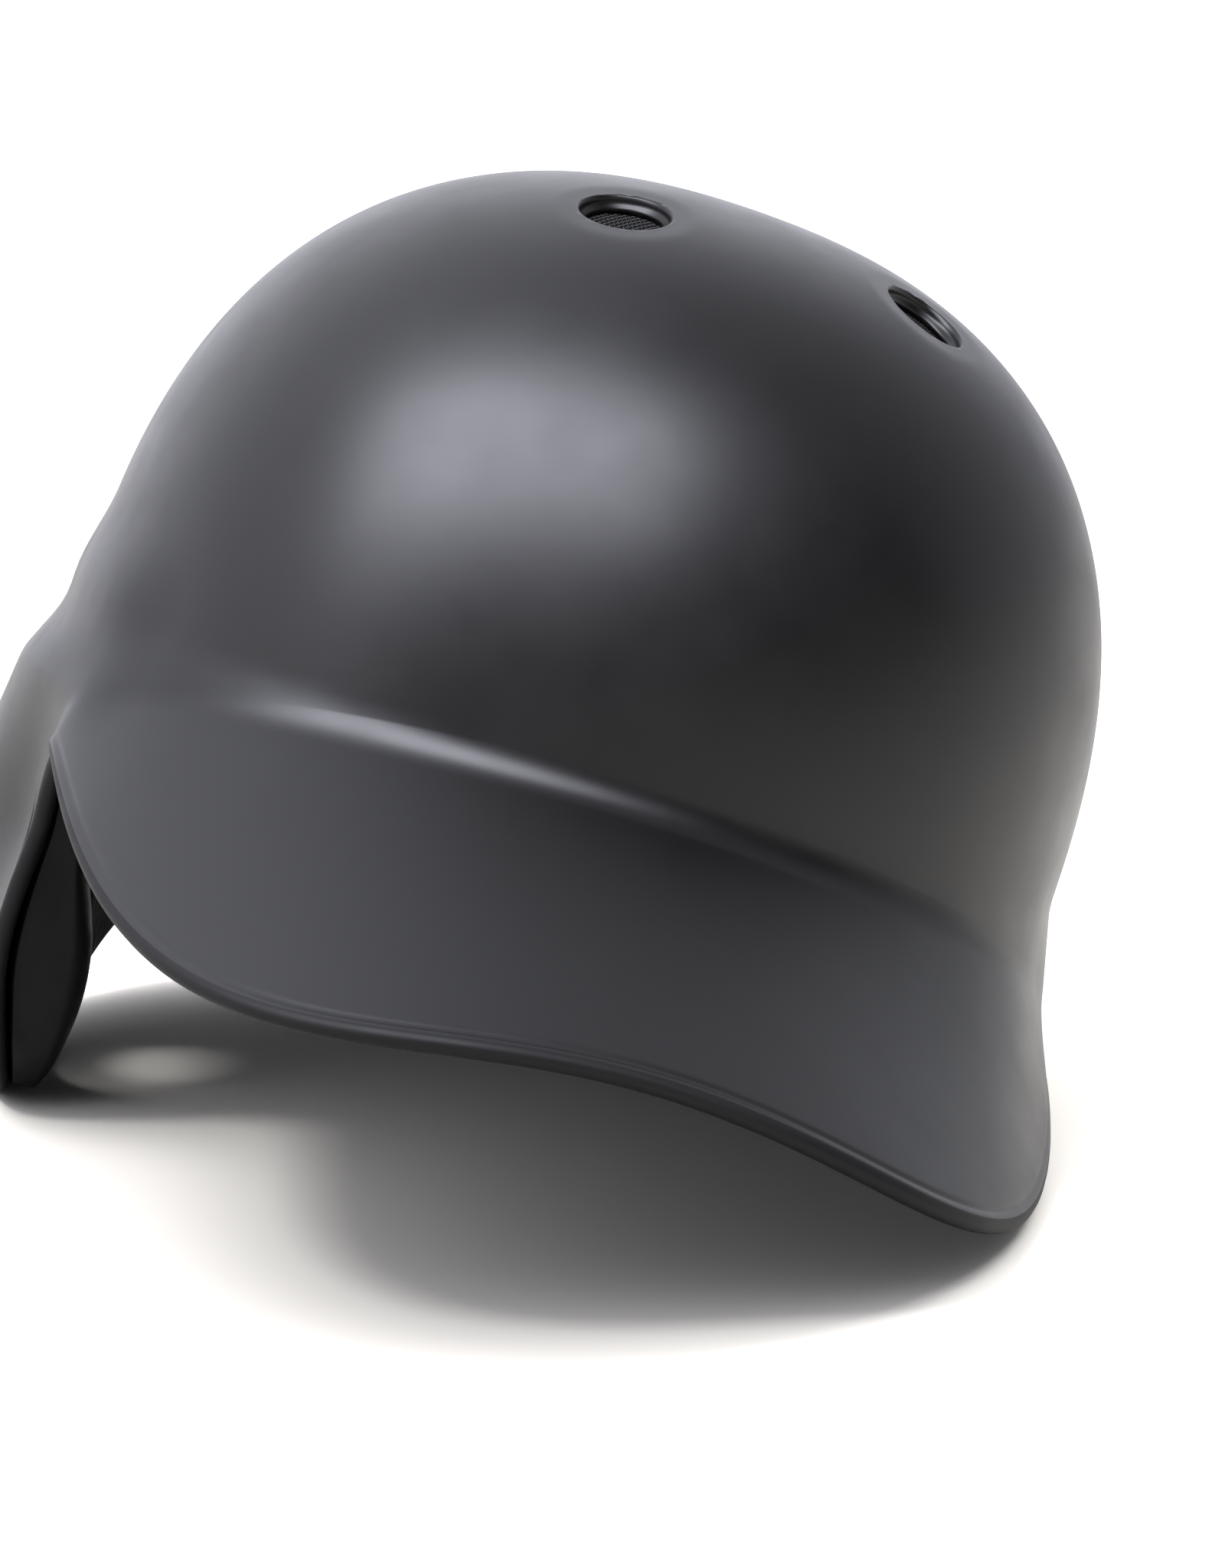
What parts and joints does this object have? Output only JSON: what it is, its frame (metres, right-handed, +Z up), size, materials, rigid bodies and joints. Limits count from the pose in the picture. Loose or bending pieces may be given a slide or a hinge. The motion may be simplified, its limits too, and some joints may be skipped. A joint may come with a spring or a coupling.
{
  "type": "batting helmet",
  "caption": "Moulded batting helmet with a short brim and one ear flap, vented crown, foam liner and removable comfort pads.",
  "frame": {"origin": "middle of the helmet's bounding box, on the surface that the helmet rests on", "axes": "+Z up from the resting surface, the brim towards -Y and the nape towards +Y, which is the longest direction, the ear flap on the -X side. The helmet lies on its ear flap, rim and brim, so its own crown axis leans 19.3 degrees towards +X"},
  "size_m": [0.236, 0.3006, 0.1908],
  "materials": {
    "shell": "moulded plastic shell with a satin black paint, rubbed slightly brighter along its edges",
    "liner_foam": "closed-cell foam with a fine matte skin",
    "pad_cover": "soft black knitted cover over foam, stitched round its border",
    "ear_pad_cover": "smooth black synthetic leather over thick foam",
    "vent_mesh": "fine black open mesh",
    "hook_tape": "black hook tape",
    "loop_tape": "black brushed loop tape"
  },
  "bodies": {
    "root": {"outer_shell": "shell", "front_liner": "liner_foam", "left_liner": "liner_foam", "right_liner": "liner_foam", "rear_liner": "liner_foam", "crown_liner": "liner_foam", "forehead_pad": "pad_cover", "left_temple_pad": "pad_cover", "right_temple_pad": "pad_cover", "left_side_pad": "pad_cover", "right_side_pad": "pad_cover", "rear_left_pad": "pad_cover", "rear_right_pad": "pad_cover", "nape_pad": "pad_cover", "crown_pad": "pad_cover", "ear_pad": "ear_pad_cover", "vent_mesh_front_left": "vent_mesh", "vent_mesh_front_right": "vent_mesh", "vent_mesh_rear_left": "vent_mesh", "vent_mesh_rear_right": "vent_mesh", "hook_discs": "hook_tape", "loop_discs": "loop_tape"}
  },
  "joints": []
}
